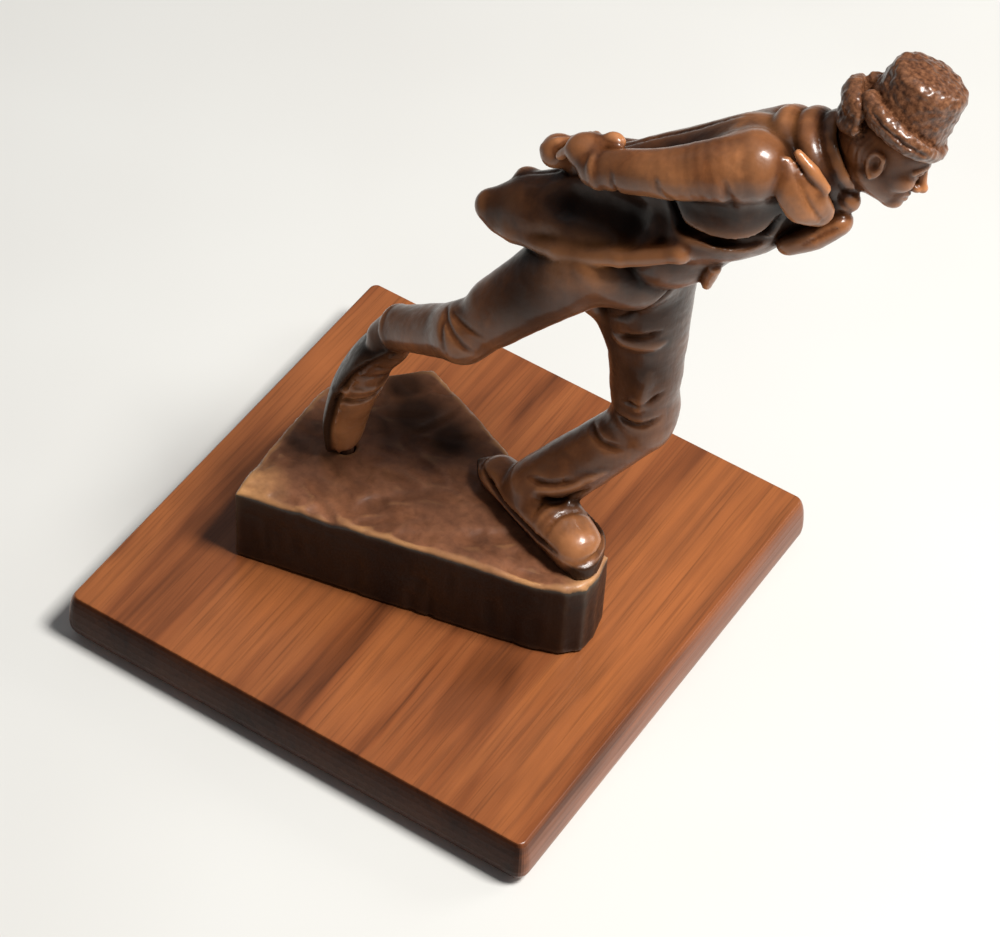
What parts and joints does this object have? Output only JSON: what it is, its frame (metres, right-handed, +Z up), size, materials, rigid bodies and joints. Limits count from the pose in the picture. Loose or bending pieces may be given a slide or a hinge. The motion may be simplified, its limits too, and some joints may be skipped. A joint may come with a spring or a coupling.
{
  "type": "carved figure trophy",
  "caption": "Carved wooden figure of a man in a tall fur hat leaning forward with his hands behind him, on a rough block and a square wooden plaque.",
  "frame": {"origin": "centre of the felt's underside, where the trophy rests", "axes": "+Z up; +X along a side of the plaque, towards the side that the figure leans over; +Y along the plaque's grain"},
  "size_m": [0.1624, 0.1302, 0.1941],
  "materials": {
    "plaque_wood": "varnished reddish brown with darker streaks",
    "carved_wood": "dark brown stain under gloss varnish, lighter on worn edges",
    "peg_wood": "bare hardwood dowel",
    "screw_steel": "plain steel",
    "felt": "dark green wool felt"
  },
  "bodies": {
    "root": {"plaque": "plaque_wood", "felt_base": "felt", "ground_block": "carved_wood", "figure": "carved_wood", "front_shoe_peg": "peg_wood", "rear_shoe_peg": "peg_wood", "front_screw": "screw_steel", "rear_screw": "screw_steel"}
  },
  "joints": []
}
